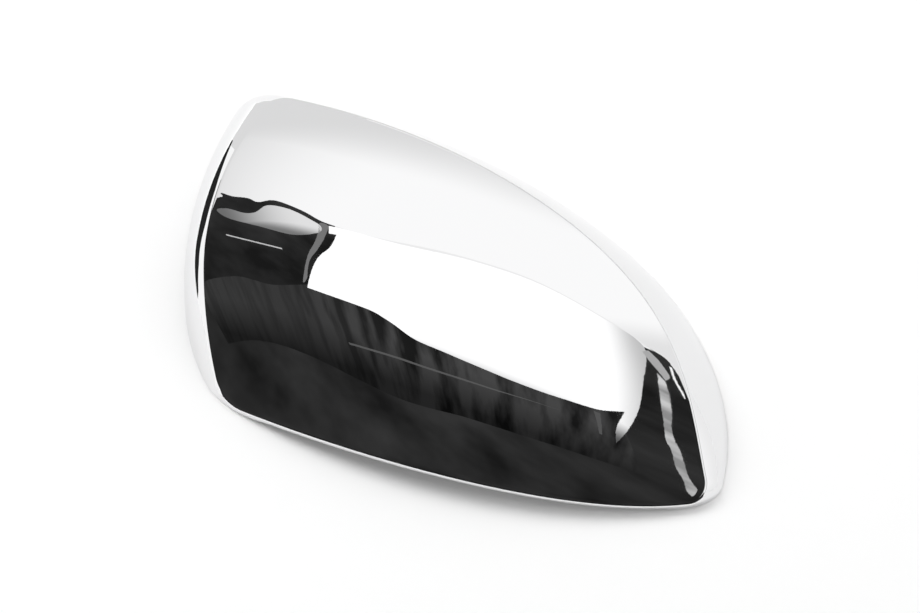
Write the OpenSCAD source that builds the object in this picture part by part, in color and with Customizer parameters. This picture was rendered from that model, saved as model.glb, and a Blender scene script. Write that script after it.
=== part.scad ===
// Wing mirror cover: one thin moulded shell that is laid over the housing of a car's
// wing mirror. A domed face runs from the wide inner end to the round tip. It is bounded
// by a crisp crease, and outside the crease a flared side wall runs round the inner end,
// the far side and the tip. The near side has no wall: there the face ends in an arched
// edge with a small lip.
// X runs from the inner end to the tip, Y from the near edge to the far side, Z up.
// The open side is down, and the foot of the side wall lies in the plane Z = 0.

/* [Crease, seen from above] */
// Corner between the inner end and the far side, along X
inner_far_x = -93; // [-98:0.5:-87]
// Corner between the inner end and the far side, along Y
inner_far_y = 60.5; // [55:0.5:66]
// Corner between the inner end and the near edge, along X
inner_near_x = -80.5; // [-86:0.5:-75]
// Corner between the inner end and the near edge, along Y
inner_near_y = -65.5; // [-71:0.5:-60]
// Corner between the tip and the near edge, along X
tip_x = 112.5; // [107:0.5:118]
// Corner between the tip and the near edge, along Y
tip_y = -61.5; // [-67:0.5:-56]
// Heading of the inner end where it leaves the far corner, in degrees
inner_far_heading = -106.5; // [-112:0.5:-100]
// Reach of the inner end's bow from the far corner
inner_far_reach = 42; // [34:0.5:50]
// Heading of the inner end where it leaves the near corner, in degrees
inner_near_heading = 121.5; // [115:0.5:128]
// Reach of the inner end's bow from the near corner
inner_near_reach = 54; // [45:0.5:62]
// Heading of the far side where it leaves the inner end, in degrees
far_inner_heading = -3; // [-8:0.5:2]
// Reach of the far side's bow from the inner end
far_inner_reach = 181; // [170:0.5:192]
// Heading of the far side where it leaves the tip, in degrees
far_tip_heading = 118.5; // [112:0.5:125]
// Reach of the far side's bow from the tip
far_tip_reach = 46; // [40:0.5:54]
// Heading of the near edge where it leaves the inner end, in degrees
near_inner_heading = -15.5; // [-21:0.5:-10]
// Reach of the near edge's bow from the inner end
near_inner_reach = 69.5; // [60:0.5:80]
// Heading of the near edge where it leaves the tip, in degrees
near_tip_heading = 207; // [200:0.5:213]
// Reach of the near edge's bow from the tip
near_tip_reach = 48.5; // [40:0.5:58]
// Length that the round of the inner far corner takes from each side
inner_far_round = 7; // [5:0.5:10]
// Length that the round of the inner near corner takes from each side
inner_near_round = 9; // [6:0.5:12]
// Length that the round of the tip's corner takes from each side
tip_round = 8; // [6:0.5:12]

/* [Crown of the face] */
// Height of the ridge line at the start of the inner end
ridge_start_h = 22.5; // [20:0.5:28]
// Height that lifts the ridge line behind the inner end
ridge_rise_h = 41.5; // [38:0.5:48]
// Height that lifts the ridge line at mid length
ridge_mid_h = 40; // [37:0.5:46]
// Height that draws the ridge line down towards the tip
ridge_fall_h = 19.5; // [18:0.5:24]
// Height of the ridge line past the tip
ridge_end_h = 2.5; // [1.5:0.5:5]
// Place of the ridge line at the start of the inner end, along Y
ridge_start_y = -0.5; // [-5:0.5:5]
// Place that draws the ridge line to the near side at mid length, along Y
ridge_mid_y = -51; // [-55:0.5:-47]
// Place of the ridge line past the tip, along Y
ridge_end_y = -56.5; // [-61:0.5:-52]
// Slope that the two flanks of the crown tend to, height over width
flank_slope = 0.84; // [0.76:0.01:0.9]
// Width over which the crown rounds from one flank to the other
crown_round = 73.5; // [66:0.5:84]
// Slope by which the whole crown rolls to the near side, height over width
crown_roll = 0.37; // [0.34:0.01:0.4]

/* [Side wall] */
// Draft of the side wall from upright at the tip, in degrees
tip_draft = 49; // [42:0.5:54]
// Draft of the side wall from upright half way along the far side, in degrees
mid_draft = 36; // [28:0.5:40]
// Draft of the side wall from upright at the inner far corner, in degrees
corner_draft = 30.5; // [26:0.5:38]
// Draft of the side wall from upright half way along the inner end, in degrees
inner_draft = 22.5; // [16:0.5:30]
// Draft of the side wall from upright where the inner end meets the near edge, in degrees
end_draft = 33.5; // [24:0.5:42]
// Outward belly of the side wall, as a share of its height
wall_belly = 0.05; // [0:0.01:0.1]
// How far the inner end's wall rolls over below the crease, as a share of its spread
roll_run = 0.68; // [0.5:0.01:0.75]
// How little it drops over that roll, as a share of its height
roll_drop = 0.155; // [0.12:0.005:0.2]
// Share of the inner end, from the near edge, over which the roll dies out
roll_fade = 0.45; // [0.3:0.05:0.9]
// Depth of the lip that turns down along the near edge
lip_depth = 2.1; // [1.8:0.1:3]
// Draft of that lip from upright, in degrees
lip_draft = 4; // [0:0.5:15]
// Length of near edge at each end over which it lifts off the foot's plane
lift_run = 14; // [8:1:24]

/* [Shell] */
// Thickness of the moulded wall
shell_t = 1.6; // [1.2:0.1:2]
// Distance from the crease over which its edge is rounded
crease_round = 0.7; // [0.5:0.1:1.5]

/* [Hidden] */

near_steps = 36;
far_steps = 40;
inner_steps = 24;
corner_steps = 7;
face_rings = 13;
edge_rings = 3;
wall_rings = 6;
inner_face_rings = 9;
inner_wall_rings = 4;
crown_start_x = -122;
crown_length = 245;
probe = 0.2;
hub_shift = 24;
foot_run = 0.93;
foot_drop = 0.4;

ridge_z = [ridge_start_h, ridge_rise_h, ridge_mid_h, ridge_fall_h, ridge_end_h];
ridge_y = [ridge_start_y, ridge_mid_y, ridge_end_y];
inner_far = [inner_far_x, inner_far_y];
inner_near = [inner_near_x, inner_near_y];
tip_near = [tip_x, tip_y];
hub = [(inner_near_x + tip_x) / 2 - hub_shift, (inner_far_y + inner_near_y) / 2];

// Point at parameter t of the curve whose control points or heights are c
function bezier(c, t) = len(c) == 1 ? c[0] :
    (1 - t) * bezier([for (i = [0:len(c) - 2]) c[i]], t) + t * bezier([for (i = [1:len(c) - 1]) c[i]], t);
function unit(v) = v / norm(v);
function heading(a) = [cos(a), sin(a)];
function flat(p) = [p.x, p.y];
function smooth(u) = let (v = max(0, min(1, u))) v * v * (3 - 2 * v);

// Height of the face over the point p: the ridge line's height, less what the flanks drop
function crown(p) =
    let (t = (p.x - crown_start_x) / crown_length, off = p.y - bezier(ridge_y, t))
    bezier(ridge_z, t) - flank_slope * (sqrt(off * off + crown_round * crown_round) - crown_round)
    + crown_roll * off;
function on_face(p) = [p.x, p.y, crown(p)];
function face_normal(p) = unit([crown(p - [probe, 0]) - crown(p + [probe, 0]),
                                crown(p - [0, probe]) - crown(p + [0, probe]), 2 * probe]);

// The three sides of the crease, each a cubic from corner to corner
near_side = [inner_near, inner_near + near_inner_reach * heading(near_inner_heading),
             tip_near + near_tip_reach * heading(near_tip_heading), tip_near];
far_side = [tip_near, tip_near + far_tip_reach * heading(far_tip_heading),
            inner_far + far_inner_reach * heading(far_inner_heading), inner_far];
inner_side = [inner_far, inner_far + inner_far_reach * heading(inner_far_heading),
              inner_near + inner_near_reach * heading(inner_near_heading), inner_near];

// Share of a side that a corner's round takes at its start or its end
function start_share(side, r) = r / (3 * norm(side[1] - side[0]));
function end_share(side, r) = 1 - r / (3 * norm(side[3] - side[2]));
// Parameter at share u of the way, with the points spread evenly along the side
function evened(side, u) =
    let (k = 2 / (1 + norm(side[1] - side[0]) / norm(side[3] - side[2]))) u * (k + (1 - k) * u);
function side_points(side, first, last, steps) =
    [for (i = [0:steps - 1]) bezier(side, first + (last - first) * evened(side, i / steps))];
// Round from the end of one side into the start of the next
function corner_points(before, after, r, steps) =
    let (a = bezier(before, end_share(before, r)), b = bezier(after, start_share(after, r)),
         pull = 0.6 * r, c = [a, a + pull * unit(before[3] - a), b + pull * unit(after[0] - b), b])
    [for (i = [0:steps - 1]) bezier(c, i / steps)];

near_points = side_points(near_side, start_share(near_side, inner_near_round),
                          end_share(near_side, tip_round), near_steps);
tip_points = corner_points(near_side, far_side, tip_round, corner_steps);
far_points = side_points(far_side, start_share(far_side, tip_round),
                         end_share(far_side, inner_far_round), far_steps);
inner_far_points = corner_points(far_side, inner_side, inner_far_round, corner_steps);
inner_points = side_points(inner_side, start_share(inner_side, inner_far_round),
                           end_share(inner_side, inner_near_round), inner_steps);
inner_near_points = corner_points(inner_side, near_side, inner_near_round, corner_steps);
crease = concat(near_points, tip_points, far_points, inner_far_points, inner_points, inner_near_points);
count = len(crease);

// Draft of the wall at each point of the crease, in the order of the points above
function ramp(from, to, steps) = [for (i = [0:steps - 1]) from + (to - from) * smooth(i / steps)];
function through(from, mid, to, steps) =
    [for (i = [0:steps - 1]) bezier([from, 2 * mid - (from + to) / 2, to], i / steps)];
draft = concat(ramp(lip_draft, lip_draft, near_steps), ramp(lip_draft, tip_draft, corner_steps),
               through(tip_draft, mid_draft, corner_draft, far_steps),
               ramp(corner_draft, corner_draft, corner_steps),
               through(corner_draft, inner_draft, end_draft, inner_steps),
               ramp(end_draft, lip_draft, corner_steps));
// Share by which the wall rolls over at each point: 0 is a plain wall, 1 the full roll
roll = concat(ramp(0, 0, near_steps + corner_steps + far_steps), ramp(0, 1, corner_steps),
              [for (i = [0:inner_steps - 1]) smooth((1 - i / inner_steps) / roll_fade)],
              ramp(0, 0, corner_steps));

function ahead(i) = crease[(i + 1) % count];
function behind(i) = crease[(i + count - 1) % count];
// Unit vector square to the crease, pointing away from the face
function outward(i) = let (d = unit(ahead(i) - behind(i))) [d.y, -d.x];
// Share by which the edge has lifted off the foot's plane: 0 at the walls, 1 along the near edge
function lift(p, i) = i >= near_steps ? 0 :
    smooth(norm(p - near_points[0]) / lift_run) * smooth(norm(p - tip_points[0]) / lift_run);
function foot_height(i) = let (p = crease[i]) lift(p, i) * (crown(p) - lip_depth);
function foot(i) =
    let (p = crease[i], z = foot_height(i), q = p + outward(i) * (crown(p) - z) * tan(draft[i]))
    [q.x, q.y, z];

// Curve of the wall from the crease down to its foot
function share_of(v, run, drop) = [v.x * run, v.y * run, v.z * drop];
function wall_curve(i) =
    let (top = on_face(crease[i]), low = foot(i), o = outward(i), v = low - top, r = roll[i],
         bulge = 4 / 3 * wall_belly * (top.z - low.z) * [o.x, o.y, 0],
         shoulder = (1 - r) * (v / 3 + bulge) + r * share_of(v, roll_run, roll_drop),
         skirt = (1 - r) * (2 * v / 3 + bulge) + r * share_of(v, foot_run, foot_drop))
    [top, top + shoulder, top + skirt, low];
function wall_edge(i) = let (c = wall_curve(i)) min(crease_round / (3 * norm(c[1] - c[0])), 0.3);
function wall_point(i, u) = bezier(wall_curve(i), u);
function wall_way(i, u) = let (c = wall_curve(i)) unit(bezier([for (k = [0:2]) c[k + 1] - c[k]], u));
function wall_normal(i, u) =
    let (a = ahead(i), b = behind(i)) unit(cross(wall_way(i, u), [a.x - b.x, a.y - b.y,
        crown(a) * (1 - u) - crown(b) * (1 - u)]));

// Point on the face at share s of the way from the hub to the crease
function face_point(i, s) = on_face(hub + s * (crease[i] - hub));
function face_edge(i) = 1 - crease_round / norm(crease[i] - hub);
function rounded_crease(i, u) =
    bezier([face_point(i, face_edge(i)), on_face(crease[i]), wall_point(i, wall_edge(i))], u);

// Inner side: the outer side moved in by the wall's thickness, with a mitre under the crease
function inner_face_point(i, s) = let (p = face_point(i, s)) p - shell_t * face_normal(flat(p));
function mitre(i) =
    let (a = face_normal(crease[i]), b = wall_normal(i, 0))
    on_face(crease[i]) - shell_t * (a + b) / (1 + a * b);
function inner_foot(i) =
    let (n = wall_normal(i, 1), w = wall_way(i, 1)) foot(i) - shell_t * (n - w * n.z / w.z);
function inner_wall_point(i, u) =
    let (c = wall_curve(i), top = mitre(i), low = inner_foot(i), k = norm(low - top) / norm(c[3] - c[0]))
    bezier([top, top + k * (c[1] - c[0]), low + k * (c[2] - c[3]), low], u);

columns = [0:count - 1];
outer_face = [for (k = [1:face_rings]) [for (i = columns) face_point(i, face_edge(i) * k / face_rings)]];
outer_edge = [for (k = [1:edge_rings]) [for (i = columns) rounded_crease(i, k / (edge_rings + 1))]];
outer_wall = [for (k = [0:wall_rings - 1])
    [for (i = columns) let (e = wall_edge(i)) wall_point(i, e + (1 - e) * k / wall_rings)]];
feet = [[for (i = columns) foot(i)], [for (i = columns) inner_foot(i)]];
inner_wall = [for (k = [inner_wall_rings - 1:-1:1]) [for (i = columns) inner_wall_point(i, k / inner_wall_rings)]];
inner_edge = [[for (i = columns) mitre(i)]];
inner_face = [for (k = [inner_face_rings - 1:-1:1])
    [for (i = columns) inner_face_point(i, k / inner_face_rings)]];
rings = concat(outer_face, outer_edge, outer_wall, feet, inner_wall, inner_edge, inner_face);
hubs = [on_face(hub), on_face(hub) - shell_t * face_normal(hub)];

module cover_shell() {
    ring_points = [for (r = rings) each r];
    top = len(ring_points);
    last = (len(rings) - 1) * count;
    strips = [for (r = [0:len(rings) - 2], i = columns)
        let (a = r * count + i, b = r * count + (i + 1) % count)
        each [[a, b, b + count], [a, b + count, a + count]]];
    caps = [for (i = columns) let (j = (i + 1) % count)
        each [[top, j, i], [top + 1, last + i, last + j]]];
    color("gainsboro") polyhedron(concat(ring_points, hubs), concat(strips, caps), convexity = 6);
}

cover_shell();
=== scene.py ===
import math

import bmesh
import bpy
import numpy as np
from mathutils import Matrix, Vector


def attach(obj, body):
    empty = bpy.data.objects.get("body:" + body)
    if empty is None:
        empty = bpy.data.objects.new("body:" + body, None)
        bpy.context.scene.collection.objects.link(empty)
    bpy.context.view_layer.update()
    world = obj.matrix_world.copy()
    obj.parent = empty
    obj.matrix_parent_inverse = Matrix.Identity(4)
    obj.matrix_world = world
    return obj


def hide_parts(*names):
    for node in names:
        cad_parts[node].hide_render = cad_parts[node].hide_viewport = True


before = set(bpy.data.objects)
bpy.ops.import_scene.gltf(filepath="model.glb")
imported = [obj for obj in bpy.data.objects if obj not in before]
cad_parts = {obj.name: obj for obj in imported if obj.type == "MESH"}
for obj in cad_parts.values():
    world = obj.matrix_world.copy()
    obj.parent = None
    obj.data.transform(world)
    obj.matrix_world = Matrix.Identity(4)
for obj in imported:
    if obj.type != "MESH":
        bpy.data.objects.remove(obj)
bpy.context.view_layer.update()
print("frame loaded")

millimetre = 0.001


# Cover shell: millimetres and degrees, X from the inner end to the tip, Y to the far side
cover = {
    "innerFar": (-93.0, 60.5), "innerNear": (-80.5, -65.5), "tip": (112.5, -61.5),
    "innerFarHeading": -106.5, "innerFarReach": 42.0,
    "innerNearHeading": 121.5, "innerNearReach": 54.0,
    "farInnerHeading": -3.0, "farInnerReach": 181.0,
    "farTipHeading": 118.5, "farTipReach": 46.0,
    "nearInnerHeading": -15.5, "nearInnerReach": 69.5,
    "nearTipHeading": 207.0, "nearTipReach": 48.5,
    "innerFarRound": 7.0, "innerNearRound": 9.0, "tipRound": 8.0,
    "ridgeHeights": (22.5, 41.5, 40.0, 19.5, 2.5), "ridgePlaces": (-0.5, -51.0, -56.5),
    "flankSlope": 0.84, "crownRound": 73.5, "crownRoll": 0.37,
    "crownStart": -122.0, "crownLength": 245.0,
    "tipDraft": 49.0, "midDraft": 36.0, "cornerDraft": 30.5, "innerDraft": 22.5, "endDraft": 33.5,
    "wallBelly": 0.05, "rollRun": 0.68, "rollDrop": 0.155, "rollFade": 0.45,
    "footRun": 0.93, "footDrop": 0.4,
    "lipDepth": 2.1, "lipDraft": 4.0, "liftRun": 14.0,
    "thickness": 1.6, "creaseRound": 0.7, "footRound": 0.35,
    "roundLimit": 0.3,  # most of the wall that a rounded edge may take, as a share
    "cornerPull": 0.6, "hubShift": 24.0, "slopeProbe": 0.2, "weldDistance": 0.001,
    "nearSteps": 120, "farSteps": 132, "innerSteps": 84, "cornerSteps": 26,
    "faceRings": 64, "edgeRings": 8, "wallRings": 16, "footRings": 3,
    "innerWallRings": 10, "innerFaceRings": 36,
}


def bezier(controls, t):
    # controls are points or numbers, t is one number or an array
    t = np.asarray(t, dtype=float)
    points = [np.asarray(c, dtype=float) for c in controls]
    if points[0].ndim and t.ndim:
        t = t[..., None]
    while len(points) > 1:
        points = [a * (1 - t) + b * t for a, b in zip(points[:-1], points[1:])]
    return points[0]


def heading(degrees):
    angle = math.radians(degrees)
    return np.array((math.cos(angle), math.sin(angle)))


def unit(vectors):
    return vectors / np.linalg.norm(vectors, axis=-1, keepdims=True)


def smooth(values):
    v = np.clip(values, 0.0, 1.0)
    return v * v * (3 - 2 * v)


def crown(points):
    # height of the face: the ridge line's height, less what the flanks drop
    t = (points[..., 0] - cover["crownStart"]) / cover["crownLength"]
    off = points[..., 1] - bezier(cover["ridgePlaces"], t)
    bow = np.sqrt(off * off + cover["crownRound"] ** 2) - cover["crownRound"]
    return bezier(cover["ridgeHeights"], t) - cover["flankSlope"] * bow + cover["crownRoll"] * off


def onFace(points):
    return np.concatenate((points, crown(points)[..., None]), axis=-1)


def faceNormal(points):
    probe = cover["slopeProbe"]
    alongX = crown(points - (probe, 0)) - crown(points + (probe, 0))
    alongY = crown(points - (0, probe)) - crown(points + (0, probe))
    return unit(np.stack((alongX, alongY, np.full(alongX.shape, 2 * probe)), axis=-1))


def creaseSides():
    # the three curves of the crease, each as four controls
    near, far, tip = (np.array(cover[k]) for k in ("innerNear", "innerFar", "tip"))
    nearSide = [near, near + cover["nearInnerReach"] * heading(cover["nearInnerHeading"]),
                tip + cover["nearTipReach"] * heading(cover["nearTipHeading"]), tip]
    farSide = [tip, tip + cover["farTipReach"] * heading(cover["farTipHeading"]),
               far + cover["farInnerReach"] * heading(cover["farInnerHeading"]), far]
    innerSide = [far, far + cover["innerFarReach"] * heading(cover["innerFarHeading"]),
                 near + cover["innerNearReach"] * heading(cover["innerNearHeading"]), near]
    return nearSide, farSide, innerSide


def startShare(side, r):
    # how far along a side the corner round at its start reaches, 0 to 1
    return r / (3 * np.linalg.norm(side[1] - side[0]))


def endShare(side, r):
    return 1 - r / (3 * np.linalg.norm(side[3] - side[2]))


def sidePoints(side, first, last, steps):
    u = np.arange(steps) / steps
    k = 2 / (1 + np.linalg.norm(side[1] - side[0]) / np.linalg.norm(side[3] - side[2]))
    return bezier(side, first + (last - first) * u * (k + (1 - k) * u))


def cornerPoints(before, after, r, steps):
    a = bezier(before, endShare(before, r))
    b = bezier(after, startShare(after, r))
    pull = cover["cornerPull"] * r
    controls = [a, a + pull * unit(before[3] - a), b + pull * unit(after[0] - b), b]
    return bezier(controls, np.arange(steps) / steps)


def creaseLoop():
    nearSide, farSide, innerSide = creaseSides()
    tip, far, near = cover["tipRound"], cover["innerFarRound"], cover["innerNearRound"]
    corner = cover["cornerSteps"]
    return np.concatenate((
        sidePoints(nearSide, startShare(nearSide, near), endShare(nearSide, tip), cover["nearSteps"]),
        cornerPoints(nearSide, farSide, tip, corner),
        sidePoints(farSide, startShare(farSide, tip), endShare(farSide, far), cover["farSteps"]),
        cornerPoints(farSide, innerSide, far, corner),
        sidePoints(innerSide, startShare(innerSide, far), endShare(innerSide, near),
                   cover["innerSteps"]),
        cornerPoints(innerSide, nearSide, near, corner)))


def ramp(start, end, steps):
    return start + (end - start) * smooth(np.arange(steps) / steps)


def through(start, middle, end, steps):
    # even bend from start to end that passes the middle value halfway
    return bezier((start, 2 * middle - (start + end) / 2, end), np.arange(steps) / steps)


def roundTheLoop(near, tip, far, innerFar, inner, innerNear):
    # one value for each point of the crease, in the order in which creaseLoop goes round
    return np.concatenate((near, tip, far, innerFar, inner, innerNear))


def shellRings():
    # all rings of the closed shell, from the hub on the outer side to the hub on the inner side
    crease = creaseLoop()
    count = len(crease)
    nearSteps, farSteps = cover["nearSteps"], cover["farSteps"]
    innerSteps, corner = cover["innerSteps"], cover["cornerSteps"]
    lip, tipDraft, cornerDraft = cover["lipDraft"], cover["tipDraft"], cover["cornerDraft"]
    draft = roundTheLoop(
        ramp(lip, lip, nearSteps), ramp(lip, tipDraft, corner),
        through(tipDraft, cover["midDraft"], cornerDraft, farSteps),
        ramp(cornerDraft, cornerDraft, corner),
        through(cornerDraft, cover["innerDraft"], cover["endDraft"], innerSteps),
        ramp(cover["endDraft"], lip, corner))
    fade = smooth((1 - np.arange(innerSteps) / innerSteps) / cover["rollFade"])
    roll = roundTheLoop(ramp(0, 0, nearSteps), ramp(0, 0, corner), ramp(0, 0, farSteps),
                        ramp(0, 1, corner), fade, ramp(0, 0, corner))[:, None]

    ahead, behind = np.roll(crease, -1, axis=0), np.roll(crease, 1, axis=0)
    along = unit(ahead - behind)
    outward = np.stack((along[:, 1], -along[:, 0]), axis=-1)
    top = onFace(crease)

    lift = smooth(np.linalg.norm(crease - crease[0], axis=1) / cover["liftRun"])
    lift = lift * smooth(np.linalg.norm(crease - crease[nearSteps], axis=1) / cover["liftRun"])
    lift[nearSteps:] = 0
    footHeight = lift * (top[:, 2] - cover["lipDepth"])
    spread = (top[:, 2] - footHeight) * np.tan(np.radians(draft))
    foot = np.concatenate((crease + outward * spread[:, None], footHeight[:, None]), axis=1)
    out3 = np.concatenate((outward, np.zeros((count, 1))), axis=1)
    bulge = 4 / 3 * cover["wallBelly"] * (top[:, 2] - foot[:, 2])[:, None] * out3
    drop = foot - top
    rolled = drop * (cover["rollRun"], cover["rollRun"], cover["rollDrop"])
    shoulder = top + (1 - roll) * (drop / 3 + bulge) + roll * rolled
    rolled = drop * (cover["footRun"], cover["footRun"], cover["footDrop"])
    skirt = top + (1 - roll) * (2 * drop / 3 + bulge) + roll * rolled
    edgeShare = cover["creaseRound"] / (3 * np.linalg.norm(shoulder - top, axis=1))
    edgeShare = np.minimum(edgeShare, cover["roundLimit"])

    def alongWall(controls, u):
        u = np.broadcast_to(u, (count,))[:, None]
        a, b, c, d = controls
        return a * (1 - u) ** 3 + 3 * b * u * (1 - u) ** 2 + 3 * c * u * u * (1 - u) + d * u ** 3

    def wallPoint(u):
        return alongWall((top, shoulder, skirt, foot), u)

    def wallWay(u):
        return unit((shoulder - top) * (1 - u) ** 2 + 2 * (skirt - shoulder) * u * (1 - u)
                    + (foot - skirt) * u * u)

    def wallNormal(u):
        rise = (crown(ahead) - crown(behind)) * (1 - u)
        return unit(np.cross(wallWay(u), np.concatenate((ahead - behind, rise[:, None]), axis=1)))

    # the rings of the face shrink towards this hub
    hub = np.array(((cover["innerNear"][0] + cover["tip"][0]) / 2 - cover["hubShift"],
                    (cover["innerFar"][1] + cover["innerNear"][1]) / 2))
    faceEdge = 1 - cover["creaseRound"] / np.linalg.norm(crease - hub, axis=1)

    def facePoint(share):
        share = np.broadcast_to(share, (count,))[:, None]
        return onFace(hub + share * (crease - hub))

    # mitre: the crease on the inner side; innerFoot: the foot's inner edge, level with its outer edge
    thickness = cover["thickness"]
    faceTop, wallTop = faceNormal(crease), wallNormal(0)
    mitre = top - thickness * (faceTop + wallTop) / (1 + (faceTop * wallTop).sum(1))[:, None]
    low, way = wallNormal(1), wallWay(1)
    innerFoot = foot - thickness * (low - way * (low[:, 2] / way[:, 2])[:, None])
    shrink = np.linalg.norm(innerFoot - mitre, axis=1) / np.linalg.norm(foot - top, axis=1)
    innerWall = (mitre, mitre + shrink[:, None] * (shoulder - top),
                 innerFoot + shrink[:, None] * (skirt - foot), innerFoot)

    # outer side: face, rounded crease, wall, rounded foot
    rings = []
    for k in range(cover["faceRings"] + 1):
        rings.append(facePoint(faceEdge * k / cover["faceRings"]))
    edgeStart, edgeEnd = rings[-1], wallPoint(edgeShare)
    for k in range(1, cover["edgeRings"]):
        u = k / cover["edgeRings"]
        rings.append(edgeStart * (1 - u) ** 2 + 2 * top * u * (1 - u) + edgeEnd * u * u)
    wallLength = np.linalg.norm(foot - top, axis=1)
    footEdge = 1 - np.minimum(cover["footRound"] / wallLength, cover["roundLimit"])
    for k in range(cover["wallRings"] + 1):
        u = edgeShare + (footEdge - edgeShare) * k / cover["wallRings"]
        rings.append(wallPoint(u))
    across = unit(innerFoot - foot) * cover["footRound"]
    footStart, footEnd = rings[-1], foot + across
    for k in range(1, cover["footRings"] + 1):
        u = k / cover["footRings"]
        rings.append(footStart * (1 - u) ** 2 + 2 * foot * u * (1 - u) + footEnd * u * u)
    outerRows = len(rings) - 1
    # inner side: foot, wall, face
    rings.append(innerFoot - across)
    rings.append((innerFoot - across) * 0.25 + innerFoot * 0.5 + alongWall(innerWall, footEdge) * 0.25)
    for k in range(cover["innerWallRings"]):
        rings.append(alongWall(innerWall, footEdge * (1 - k / cover["innerWallRings"])))
    rings.append(mitre)
    for k in range(cover["innerFaceRings"] - 1, -1, -1):
        points = facePoint(k / cover["innerFaceRings"])
        rings.append(points - thickness * faceNormal(points[:, :2]))
    return np.array(rings), outerRows


def makeCover():
    rings, outerRows = shellRings()
    rows, columns = rings.shape[0] - 1, rings.shape[1]
    bm = bmesh.new()
    bmesh.ops.create_grid(bm, x_segments=columns, y_segments=rows, size=1.0)
    for face in bm.faces:
        row = (face.calc_center_median().y + 1) / 2 * rows
        face.material_index = 0 if row < outerRows else 1
        face.smooth = True
    for vert in bm.verts:
        column = round((vert.co.x + 1) / 2 * columns) % columns
        row = round((vert.co.y + 1) / 2 * rows)
        vert.co = Vector(rings[row, column]) * millimetre
    bmesh.ops.remove_doubles(bm, verts=bm.verts, dist=cover["weldDistance"] * millimetre)
    bmesh.ops.recalc_face_normals(bm, faces=bm.faces)
    mesh = bpy.data.meshes.new("mirrorCover")
    bm.to_mesh(mesh)
    bm.free()
    piece = bpy.data.objects.new("mirrorCover", mesh)
    bpy.context.scene.collection.objects.link(piece)
    return piece


def newMaterial(name):
    material = bpy.data.materials.new(name)
    material.use_nodes = True
    material.node_tree.nodes.clear()
    return material, material.node_tree.nodes, material.node_tree.links


def placeNode(nodes, kind, x, y, **values):
    node = nodes.new(kind)
    node.location = (x, y)
    for key, value in values.items():
        setattr(node, key, value)
    return node


def placeNoise(nodes, x, y, size, detail):
    noise = placeNode(nodes, "ShaderNodeTexNoise", x, y)
    noise.inputs["Scale"].default_value = size
    noise.inputs["Detail"].default_value = detail
    return noise


def placeRange(nodes, x, y, source, result, **values):
    # turns the source range into the result range
    change = placeNode(nodes, "ShaderNodeMapRange", x, y, **values)
    change.inputs["From Min"].default_value = source[0]
    change.inputs["From Max"].default_value = source[1]
    change.inputs["To Min"].default_value = result[0]
    change.inputs["To Max"].default_value = result[1]
    return change


def placeBump(nodes, x, y, strength, depth):
    bump = placeNode(nodes, "ShaderNodeBump", x, y)
    bump.inputs["Strength"].default_value = strength
    bump.inputs["Distance"].default_value = depth
    return bump


# Plated finish of the outer side
chrome = {
    "colour": (0.88, 0.88, 0.885, 1.0), "metallic": 1.0,
    "roughness": (0.004, 0.02), "hazeSize": 55.0, "hazeDetail": 6.0, "hazeRange": (0.35, 0.75),
    "rippleSize": 34.0, "rippleDetail": 1.0, "rippleDepth": 0.00004,
    "peelSize": 700.0, "peelDetail": 2.0, "peelDepth": 0.0000006,
}


def makeChrome():
    material, nodes, links = newMaterial("brightChrome")
    coords = placeNode(nodes, "ShaderNodeTexCoord", -1100, 0)
    haze = placeNoise(nodes, -850, 100, chrome["hazeSize"], chrome["hazeDetail"])
    ripple = placeNoise(nodes, -850, -250, chrome["rippleSize"], chrome["rippleDetail"])
    peel = placeNoise(nodes, -850, -500, chrome["peelSize"], chrome["peelDetail"])
    for node in (ripple, peel, haze):
        links.new(coords.outputs["Object"], node.inputs["Vector"])
    rough = placeRange(nodes, -550, 100, chrome["hazeRange"], chrome["roughness"])
    links.new(haze.outputs["Fac"], rough.inputs["Value"])
    waves = placeBump(nodes, -550, -250, 1.0, chrome["rippleDepth"])
    links.new(ripple.outputs["Fac"], waves.inputs["Height"])
    grain = placeBump(nodes, -300, -350, 1.0, chrome["peelDepth"])
    links.new(peel.outputs["Fac"], grain.inputs["Height"])
    links.new(waves.outputs["Normal"], grain.inputs["Normal"])
    metal = placeNode(nodes, "ShaderNodeBsdfPrincipled", 0, 0)
    metal.inputs["Base Color"].default_value = chrome["colour"]
    metal.inputs["Metallic"].default_value = chrome["metallic"]
    links.new(rough.outputs["Result"], metal.inputs["Roughness"])
    links.new(grain.outputs["Normal"], metal.inputs["Normal"])
    out = placeNode(nodes, "ShaderNodeOutputMaterial", 300, 0)
    links.new(metal.outputs["BSDF"], out.inputs["Surface"])
    return material


# Duller plating of the inner side
innerPlating = {
    "dark": (0.42, 0.42, 0.415, 1.0), "pale": (0.62, 0.62, 0.61, 1.0), "toneRange": (0.35, 0.7),
    "roughness": (0.3, 0.46), "metallic": 0.5,
    "flow": (8.0, 26.0, 26.0), "cloudSize": 1.4, "cloudDetail": 5.0,
    "gritSize": 1800.0, "gritDetail": 2.0, "gritStrength": 0.4, "gritDepth": 0.00003,
}


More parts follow.
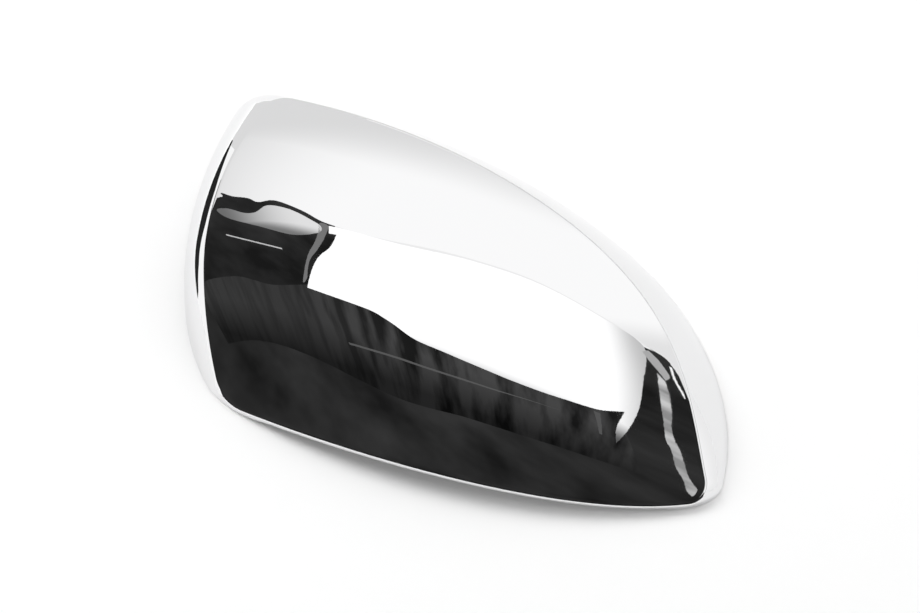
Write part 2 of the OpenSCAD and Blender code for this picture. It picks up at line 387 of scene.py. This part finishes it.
def makeInnerPlating():
    material, nodes, links = newMaterial("satinPlating")
    coords = placeNode(nodes, "ShaderNodeTexCoord", -1100, 0)
    flow = placeNode(nodes, "ShaderNodeMapping", -900, 100)
    flow.inputs["Scale"].default_value = innerPlating["flow"]
    cloud = placeNoise(nodes, -700, 100, innerPlating["cloudSize"], innerPlating["cloudDetail"])
    grit = placeNoise(nodes, -700, -250, innerPlating["gritSize"], innerPlating["gritDetail"])
    links.new(coords.outputs["Object"], flow.inputs["Vector"])
    links.new(flow.outputs["Vector"], cloud.inputs["Vector"])
    links.new(coords.outputs["Object"], grit.inputs["Vector"])
    tone = placeNode(nodes, "ShaderNodeValToRGB", -450, 200)
    darkEnd, paleEnd = tone.color_ramp.elements
    darkEnd.position, paleEnd.position = innerPlating["toneRange"]
    darkEnd.color, paleEnd.color = innerPlating["dark"], innerPlating["pale"]
    links.new(cloud.outputs["Fac"], tone.inputs["Fac"])
    rough = placeRange(nodes, -450, -50, (0.0, 1.0), innerPlating["roughness"])
    links.new(cloud.outputs["Fac"], rough.inputs["Value"])
    bump = placeBump(nodes, -450, -300, innerPlating["gritStrength"], innerPlating["gritDepth"])
    links.new(grit.outputs["Fac"], bump.inputs["Height"])
    metal = placeNode(nodes, "ShaderNodeBsdfPrincipled", 0, 0)
    metal.inputs["Metallic"].default_value = innerPlating["metallic"]
    links.new(tone.outputs["Color"], metal.inputs["Base Color"])
    links.new(rough.outputs["Result"], metal.inputs["Roughness"])
    links.new(bump.outputs["Normal"], metal.inputs["Normal"])
    out = placeNode(nodes, "ShaderNodeOutputMaterial", 300, 0)
    links.new(metal.outputs["BSDF"], out.inputs["Surface"])
    return material


coverPiece = makeCover()
coverPiece.data.materials.append(makeChrome())
coverPiece.data.materials.append(makeInnerPlating())
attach(coverPiece, "root")
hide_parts("cover_shell")
print("cover made")


# Studio: metres, right, away and up as the camera sees them, turned and set on the object
studio = {"turn": 14.0, "centre": (0.0019, -0.0104), "ceiling": 3.0, "curveSteps": 5}
studioPlace = (Matrix.Translation((*studio["centre"], 0))
               @ Matrix.Rotation(math.radians(studio["turn"]), 4, "Z"))


def addStage(name, bm, material):
    mesh = bpy.data.meshes.new(name)
    bm.to_mesh(mesh)
    bm.free()
    mesh.materials.append(material)
    thing = bpy.data.objects.new(name, mesh)
    bpy.context.scene.collection.objects.link(thing)
    thing.matrix_world = studioPlace
    return thing


def addCard(name, corners, material):
    # a flat lit or dark card with these corners, seen in reflections and not by the camera
    bm = bmesh.new()
    bm.faces.new([bm.verts.new(c) for c in corners])
    card = addStage(name, bm, material)
    card.visible_camera = False
    return card


def addGlow(nodes, links, level):
    # emission to the output, as bright as a number or as another node's socket says
    emission = placeNode(nodes, "ShaderNodeEmission", 0, 0)
    if isinstance(level, float):
        emission.inputs["Strength"].default_value = level
    else:
        links.new(level, emission.inputs["Strength"])
    out = placeNode(nodes, "ShaderNodeOutputMaterial", 250, 0)
    links.new(emission.outputs["Emission"], out.inputs["Surface"])


def evenGlow(name, strength, fades=()):
    # each fade is a direction, where it starts, its width and the share of the glow left at its start
    material, nodes, links = newMaterial(name)
    if not fades:
        addGlow(nodes, links, strength)
        return material
    coords = placeNode(nodes, "ShaderNodeTexCoord", -1200, 0)
    level = None
    for index, (direction, start, width, share) in enumerate(fades):
        dot = placeNode(nodes, "ShaderNodeVectorMath", -1000, -200 * index, operation="DOT_PRODUCT")
        dot.inputs[1].default_value = direction
        links.new(coords.outputs["Object"], dot.inputs[0])
        fade = placeRange(nodes, -800, -200 * index, (start, start + width), (strength * share, strength),
                          interpolation_type="SMOOTHSTEP")
        links.new(dot.outputs["Value"], fade.inputs["Value"])
        if level is None:
            level = fade.outputs["Result"]
        else:
            least = placeNode(nodes, "ShaderNodeMath", -500, -200 * index, operation="MINIMUM")
            links.new(level, least.inputs[0])
            links.new(fade.outputs["Result"], least.inputs[1])
            level = least.outputs["Value"]
    addGlow(nodes, links, level)
    return material


# Side strip with darker and paler patches
stripPatches = {"size": 2.6, "detail": 2.0, "range": (0.35, 0.65), "glow": (0.3, 0.72)}


def patchyGlow(name):
    material, nodes, links = newMaterial(name)
    coords = placeNode(nodes, "ShaderNodeTexCoord", -900, 0)
    patches = placeNoise(nodes, -700, 0, stripPatches["size"], stripPatches["detail"])
    links.new(coords.outputs["Object"], patches.inputs["Vector"])
    level = placeRange(nodes, -450, 0, stripPatches["range"], stripPatches["glow"])
    links.new(patches.outputs["Fac"], level.inputs["Value"])
    addGlow(nodes, links, level.outputs["Result"])
    return material


# Dim hanging cloth, a flat card: its folds are painted light and shade, streaks that run away from the
# object, plainer at the left; painted shade makes it dimmer and plainer near the camera
hangingCloth = {
    "foldTurn": -17.0, "foldStretch": (1.0, 8.0, 1.0), "foldSize": 5.5, "foldDetail": 4.0,
    "foldRange": (0.38, 0.58), "foldGlow": (-0.026, 0.03), "glow": 0.038,
    "paintedFoldLeftRange": (-2.4, -0.6), "paintedFoldLeftShare": (0.2, 1.0),
    "nearRange": (-1.6, -0.8), "nearShare": (0.3, 1.0),
}


def clothGlow(name):
    material, nodes, links = newMaterial(name)
    coords = placeNode(nodes, "ShaderNodeTexCoord", -1100, 0)
    stretch = placeNode(nodes, "ShaderNodeMapping", -900, 0, vector_type="TEXTURE")
    stretch.inputs["Rotation"].default_value = (0.0, 0.0, math.radians(hangingCloth["foldTurn"]))
    stretch.inputs["Scale"].default_value = hangingCloth["foldStretch"]
    folds = placeNoise(nodes, -700, 0, hangingCloth["foldSize"], hangingCloth["foldDetail"])
    links.new(coords.outputs["Object"], stretch.inputs["Vector"])
    links.new(stretch.outputs["Vector"], folds.inputs["Vector"])
    # painted light and shade of the folds: the streaks raise or lower the glow
    level = placeRange(nodes, -500, 0, hangingCloth["foldRange"], hangingCloth["foldGlow"])
    links.new(folds.outputs["Fac"], level.inputs["Value"])
    split = placeNode(nodes, "ShaderNodeSeparateXYZ", -700, -300)
    links.new(coords.outputs["Object"], split.inputs["Vector"])
    # the painted fold light and shade is weaker towards the left
    paintedFoldLeft = placeRange(nodes, -500, -300, hangingCloth["paintedFoldLeftRange"], hangingCloth["paintedFoldLeftShare"])
    links.new(split.outputs["X"], paintedFoldLeft.inputs["Value"])
    # painted shade: the whole cloth dims towards the camera
    near = placeRange(nodes, -500, -600, hangingCloth["nearRange"], hangingCloth["nearShare"])
    links.new(split.outputs["Y"], near.inputs["Value"])
    folded = placeNode(nodes, "ShaderNodeMath", -350, 0, operation="MULTIPLY_ADD")
    folded.inputs[2].default_value = hangingCloth["glow"]
    links.new(level.outputs["Result"], folded.inputs[0])
    links.new(paintedFoldLeft.outputs["Result"], folded.inputs[1])
    faded = placeNode(nodes, "ShaderNodeMath", -200, 0, operation="MULTIPLY")
    links.new(folded.outputs["Value"], faded.inputs[0])
    links.new(near.outputs["Result"], faded.inputs[1])
    addGlow(nodes, links, faded.outputs["Value"])
    return material


# Lights and cards in the ceiling plane. An outline's points are right and away, and one given twice
# is a sharp corner. Lift is how far the card lies above the plane.
farFade = ((0.35, -0.2, 1.0), 1.33, 1.15, 0.73)
ceilingCards = {
    "softbox": {
        "glow": 1.2,
        "fades": (((-0.945, 0.327, 0.0), -1.53, 0.26, 0.5), ((0.0, 1.0, 0.0), -1.0, 0.6, 0.1)),
        "outline": (
            (-0.79, 1.36), (-0.79, 1.36), (0.12, 1.51), (1.04, 1.91), (1.69, 2.12), (2.15, 1.93),
            (2.22, 1.76), (2.12, 1.45), (1.78, 0.65), (1.48, -0.10), (1.33, -0.47), (1.19, -0.80),
            (1.06, -1.08), (1.06, -1.08), (1.16, -0.73), (1.35, -0.27), (1.35, -0.27), (1.23, -0.38),
            (1.10, -0.48), (0.86, -0.56), (0.62, -0.61), (0.36, -0.62), (0.09, -0.61), (-0.19, -0.58),
            (-0.49, -0.54), (-0.65, -0.40), (-0.75, -0.33), (-0.88, -0.26), (-1.09, -0.24),
            (-1.36, -0.22), (-1.79, -0.18), (-1.79, -0.18), (-1.29, 0.49), (-0.95, 0.85),
            (-0.74, 1.19), (-0.74, 1.19), (-0.85, 1.17), (-0.85, 1.17))},
    "backScrim": {
        "glow": 1.08, "fades": (farFade, ((-0.7, 0.7, 0.0), -0.35, 0.35, 0.8)),
        "outline": (
            (-4.6, 1.95), (-4.6, 1.95), (-2.80, 1.62), (-2.68, 1.74), (-2.40, 1.65), (-2.05, 1.64),
            (-1.87, 1.57), (-1.51, 1.69), (-1.11, 1.57), (-0.88, 1.43), (-0.64, 1.40), (-0.38, 1.41),
            (0.12, 1.55), (1.04, 1.95), (1.69, 2.16), (2.17, 1.96), (2.25, 1.74), (2.29, 1.64),
            (2.25, 1.45), (2.19, 1.18), (2.16, 0.60), (2.10, 0.0), (2.0, -1.0), (2.0, -2.2),
            (2.0, -2.2), (3.6, -2.2), (3.6, -2.2), (3.6, 3.6), (3.6, 3.6), (-4.6, 3.6), (-4.6, 3.6))},
    "seam": {
        "glow": 0.95, "lift": 0.02, "straight": True,
        "outline": (
            (-0.70, 1.30), (0.12, 1.45), (1.04, 1.85), (1.69, 2.07), (2.10, 1.85), (2.15, 1.70),
            (2.27, 1.70), (2.27, 1.92), (2.24, 2.00), (1.69, 2.22), (1.04, 2.02), (0.12, 1.62),
            (-0.70, 1.46))},
    "sideStripBack": {
        "glow": 0.45, "lift": -0.015,
        "outline": (
            (2.12, 1.52), (2.12, 1.52), (2.205, 1.64), (2.205, 1.64), (2.19, 1.525), (2.15, 1.345),
            (2.09, 1.12), (2.01, 0.97), (2.01, 0.97), (2.05, 1.17), (2.085, 1.36))},
    "sideStrip": {
        "material": patchyGlow, "lift": -0.01,
        "outline": (
            (2.00, 0.94), (2.00, 0.94), (1.915, 0.68), (1.835, 0.45), (1.725, 0.12), (1.61, -0.22),
            (1.545, -0.47), (1.515, -0.65), (1.455, -0.95), (1.41, -1.23), (1.40, -1.45),
            (1.38, -1.62), (1.34, -1.66), (1.33, -1.55), (1.36, -1.34), (1.38, -1.07), (1.45, -0.74),
            (1.49, -0.53), (1.59, -0.18), (1.775, 0.42), (2.02, 1.09), (2.02, 1.09))},
    "leftFrame": {
        "glow": 0.2,
        "outline": (
            (-0.80, 1.37), (-0.86, 1.21), (-1.00, 0.97), (-1.20, 0.69), (-1.385, 0.48), (-1.55, 0.24),
            (-1.68, 0.02), (-1.81, -0.09), (-1.67, 0.13), (-1.52, 0.36), (-1.36, 0.60), (-1.18, 0.84),
            (-1.015, 1.13), (-0.92, 1.36))},
    "greyReflector": {
        "glow": 0.85,
        "fades": (((1.0, 0.0, 0.0), -2.9, 1.8, 0.2), ((0.0, 1.0, 0.0), 0.95, 0.3, 0.25)),
        "outline": (
            (-2.99, 1.27), (-2.65, 1.31), (-2.30, 1.24), (-2.02, 1.30), (-1.70, 1.52), (-1.32, 1.53),
            (-1.01, 1.38), (-0.92, 1.28), (-1.00, 1.13), (-1.30, 0.97), (-1.62, 0.91), (-2.17, 0.97),
            (-2.79, 1.08))},
    "tubeLamp": {
        "glow": 0.6, "lift": -0.02,
        "outline": (
            (-3.07, 0.69), (-3.07, 0.69), (-2.39, 0.592), (-1.84, 0.548), (-1.84, 0.548),
            (-1.84, 0.518), (-1.84, 0.518), (-2.39, 0.562), (-3.07, 0.66), (-3.07, 0.66))},
    "cloth": {
        "material": clothGlow, "lift": 0.03,
        "outline": (
            (-1.7, -0.1), (-1.7, -0.1), (1.3, -0.2), (1.3, -0.2), (1.2, -0.9), (1.1, -1.6), (1.1, -1.6),
            (0.0, -1.75), (-0.5, -1.8), (-1.2, -1.9), (-1.9, -1.8), (-2.8, -1.6), (-4.0, -1.6),
            (-5.6, -1.9), (-5.6, -1.9), (-5.6, -0.5), (-5.6, -0.5), (-3.6, -0.25), (-2.6, -0.3))},
    "clothHem": {
        "glow": 0.11,
        "outline": (
            (-1.62, -1.10), (-1.62, -1.10), (-0.63, -1.06), (0.0, -1.00), (0.76, -0.84),
            (0.76, -0.84), (0.0, -0.97), (-0.63, -1.02), (-1.62, -1.06), (-1.62, -1.06))},
    "edgeTube": {
        "glow": 1.0, "lift": -0.02,
        "outline": (
            (2.223, 1.427), (2.223, 1.427), (2.114, 1.118), (2.054, 0.913), (1.995, 0.70),
            (1.995, 0.70), (1.983, 0.70), (1.983, 0.70), (2.041, 0.913), (2.101, 1.118),
            (2.21, 1.427), (2.21, 1.427))},
    "foldTube": {
        "glow": 0.1,
        "outline": (
            (1.07, -0.54), (1.07, -0.54), (1.11, -0.54), (1.11, -0.54), (0.99, -1.01), (0.99, -1.01),
            (0.97, -1.01), (0.97, -1.01))},
}


def curvedOutline(points):
    # smooth closed curve through the points
    points = np.array(points, dtype=float)
    before, after, later = (np.roll(points, shift, axis=0) for shift in (1, -1, -2))
    curve = []
    for p0, p1, p2, p3 in zip(before, points, after, later):
        if np.allclose(p1, p2):
            continue
        for u in np.arange(studio["curveSteps"]) / studio["curveSteps"]:
            curve.append(0.5 * (2 * p1 + (p2 - p0) * u + (2 * p0 - 5 * p1 + 4 * p2 - p3) * u ** 2
                                + (3 * p1 - p0 - 3 * p2 + p3) * u ** 3))
    return curve


def cardMaterial(name, card):
    if "material" in card:
        return card["material"](name + "Glow")
    return evenGlow(name + "Glow", card["glow"], card.get("fades", ()))


def makeCeiling():
    for name, card in ceilingCards.items():
        outline = card["outline"] if card.get("straight") else curvedOutline(card["outline"])
        up = studio["ceiling"] + card.get("lift", 0.0)
        addCard(name, [(right, away, up) for right, away in outline], cardMaterial(name, card))


# Grey band across the white walls, soft above and below its middle height
softBand = {"middle": 1.3, "softness": (0.1, 0.55), "glow": (0.42, 1.04)}


def bandGlow(name):
    material, nodes, links = newMaterial(name)
    coords = placeNode(nodes, "ShaderNodeTexCoord", -1100, 0)
    split = placeNode(nodes, "ShaderNodeSeparateXYZ", -900, 0)
    links.new(coords.outputs["Object"], split.inputs["Vector"])
    offset = placeNode(nodes, "ShaderNodeMath", -700, 0, operation="SUBTRACT")
    offset.inputs[1].default_value = softBand["middle"]
    links.new(split.outputs["Z"], offset.inputs[0])
    distance = placeNode(nodes, "ShaderNodeMath", -550, 0, operation="ABSOLUTE")
    links.new(offset.outputs["Value"], distance.inputs[0])
    level = placeRange(nodes, -400, 0, softBand["softness"], softBand["glow"],
                       interpolation_type="SMOOTHSTEP")
    links.new(distance.outputs["Value"], level.inputs["Value"])
    addGlow(nodes, links, level.outputs["Result"])
    return material


# Walls round the table, each a flat card given by its corners
wallCards = {
    "backWall": {
        "glow": 1.08, "fades": (farFade,),
        "corners": ((-4.6, 3.6, 0), (3.6, 3.6, 0), (3.6, 3.6, 3.0), (-4.6, 3.6, 3.0))},
    "rightWall": {
        "glow": 1.06, "fades": (((0.0, 0.0, 1.0), 0.0, 0.9, 0.88),),
        "corners": ((3.6, 3.6, 0), (3.6, -2.2, 0), (3.6, -2.2, 3.0), (3.6, 3.6, 3.0))},
    "rightBand": {
        "material": bandGlow,
        "corners": ((3.58, 3.6, 0.75), (3.58, -2.2, 0.75), (3.58, -2.2, 1.85), (3.58, 3.6, 1.85))},
    "backBand": {
        "material": bandGlow,
        "corners": ((0.3, 3.58, 0.75), (3.6, 3.58, 0.75), (3.6, 3.58, 1.85), (0.3, 3.58, 1.85))},
    "leftWall": {
        "glow": 1.05,
        "corners": ((-3.0, -1.2, 0), (-3.0, 3.6, 0), (-3.0, 3.6, 1.6), (-3.0, 0.3, 1.6),
                    (-3.0, -1.2, 0.9))},
    "leftFlag": {
        "glow": 0.02,
        "corners": ((-1.6, 2.0, 0), (-2.55, 0.1, 0), (-2.55, 0.1, 0.22), (-2.45, 0.3, 0.55),
                    (-2.2, 0.8, 0.7), (-1.95, 1.3, 0.6), (-1.75, 1.7, 0.36), (-1.6, 2.0, 0.12))},
}


def makeWalls():
    for name, card in wallCards.items():
        addCard(name, card["corners"], cardMaterial(name, card))


# White table top: a little of its white is added where the camera or the chrome sees it
tableTop = {"halfWidth": 4.5, "gap": 0.00005, "colour": (0.95, 0.95, 0.95, 1.0),
            "cameraWhite": 0.11, "glossyWhite": 0.05}


def tableMaterial():
    material, nodes, links = newMaterial("whiteTable")
    paint = placeNode(nodes, "ShaderNodeBsdfDiffuse", 0, 0)
    paint.inputs["Color"].default_value = tableTop["colour"]
    white = placeNode(nodes, "ShaderNodeEmission", 0, -200)
    path = placeNode(nodes, "ShaderNodeLightPath", -650, -200)
    toCamera = placeNode(nodes, "ShaderNodeMath", -400, -150, operation="MULTIPLY")
    toCamera.inputs[1].default_value = tableTop["cameraWhite"]
    links.new(path.outputs["Is Camera Ray"], toCamera.inputs[0])
    level = placeNode(nodes, "ShaderNodeMath", -200, -200, operation="MULTIPLY_ADD")
    level.inputs[1].default_value = tableTop["glossyWhite"]
    links.new(path.outputs["Is Glossy Ray"], level.inputs[0])
    links.new(toCamera.outputs["Value"], level.inputs[2])
    links.new(level.outputs["Value"], white.inputs["Strength"])
    both = placeNode(nodes, "ShaderNodeAddShader", 250, 0)
    links.new(paint.outputs["BSDF"], both.inputs[0])
    links.new(white.outputs["Emission"], both.inputs[1])
    out = placeNode(nodes, "ShaderNodeOutputMaterial", 450, 0)
    links.new(both.outputs[0], out.inputs["Surface"])
    return material


def makeTable():
    bm = bmesh.new()
    bmesh.ops.create_grid(bm, x_segments=1, y_segments=1, size=tableTop["halfWidth"])
    bmesh.ops.translate(bm, verts=bm.verts, vec=(0, 0, -tableTop["gap"]))
    addStage("tableTop", bm, tableMaterial())


# World: white to the camera, even light on things, a dim room in reflections
room = {"white": (1.0, 1.0, 1.0, 1.0), "whiteGlow": 1.0, "fill": 0.32,
        "patchSize": 5.0, "patchDetail": 3.0, "patchRange": (0.35, 0.75), "patchGlow": (0.014, 0.05)}


def makeWorld():
    world = bpy.data.worlds.new("studioWorld")
    bpy.context.scene.world = world
    world.use_nodes = True
    nodes, links = world.node_tree.nodes, world.node_tree.links
    nodes.clear()
    coords = placeNode(nodes, "ShaderNodeTexCoord", -1200, -200)
    patches = placeNoise(nodes, -900, -200, room["patchSize"], room["patchDetail"])
    links.new(coords.outputs["Generated"], patches.inputs["Vector"])
    dimLevel = placeRange(nodes, -600, -200, room["patchRange"], room["patchGlow"])
    links.new(patches.outputs["Fac"], dimLevel.inputs["Value"])
    dim = placeNode(nodes, "ShaderNodeBackground", -300, -200)
    links.new(dimLevel.outputs["Result"], dim.inputs["Strength"])
    even = placeNode(nodes, "ShaderNodeBackground", -300, 0)
    even.inputs["Strength"].default_value = room["fill"]
    white = placeNode(nodes, "ShaderNodeBackground", -300, 200)
    white.inputs["Color"].default_value = room["white"]
    white.inputs["Strength"].default_value = room["whiteGlow"]
    path = placeNode(nodes, "ShaderNodeLightPath", -600, 400)
    lit = placeNode(nodes, "ShaderNodeMixShader", 0, 0)
    links.new(path.outputs["Is Glossy Ray"], lit.inputs[0])
    links.new(even.outputs[0], lit.inputs[1])
    links.new(dim.outputs[0], lit.inputs[2])
    seen = placeNode(nodes, "ShaderNodeMixShader", 250, 0)
    links.new(path.outputs["Is Camera Ray"], seen.inputs[0])
    links.new(lit.outputs[0], seen.inputs[1])
    links.new(white.outputs[0], seen.inputs[2])
    out = placeNode(nodes, "ShaderNodeOutputWorld", 500, 0)
    links.new(seen.outputs[0], out.inputs["Surface"])


def aimedPlace(place, aim):
    # matrix of a lamp or camera that stands at place and looks at aim
    turn = (aim - place).to_track_quat("-Z", "Y").to_matrix().to_4x4()
    return Matrix.Translation(place) @ turn


# Soft lamp from the left and behind, which gives the shadow under the near edge
overheadLamp = {"place": (-2.3, 1.75, 2.4), "size": 1.8, "power": 80.0}


def makeLamp():
    data = bpy.data.lights.new("overheadLamp", "AREA")
    data.shape = "DISK"
    data.size = overheadLamp["size"]
    data.energy = overheadLamp["power"]
    lamp = bpy.data.objects.new("overheadLamp", data)
    bpy.context.scene.collection.objects.link(lamp)
    lamp.matrix_world = aimedPlace(studioPlace @ Vector(overheadLamp["place"]), Vector((0, 0, 0)))
    lamp.visible_glossy = False


makeTable()
makeCeiling()
makeWalls()
makeWorld()
makeLamp()
print("studio made")


# Camera: 60 degrees above the table
view = {"place": (0, -0.414, 0.73547), "aim": (0, 0, 0.0184), "lens": 82.86, "sensor": 36.0,
        "farthest": 100.0}


def makeCamera():
    data = bpy.data.cameras.new("camera")
    data.lens = view["lens"]
    data.sensor_width = view["sensor"]
    data.clip_end = view["farthest"]
    camera = bpy.data.objects.new("camera", data)
    bpy.context.scene.collection.objects.link(camera)
    place, aim = studioPlace @ Vector(view["place"]), studioPlace @ Vector(view["aim"])
    camera.matrix_world = aimedPlace(place, aim)
    bpy.context.scene.camera = camera


makeCamera()
bpy.context.scene.view_settings.view_transform = "Standard"
print("camera set")
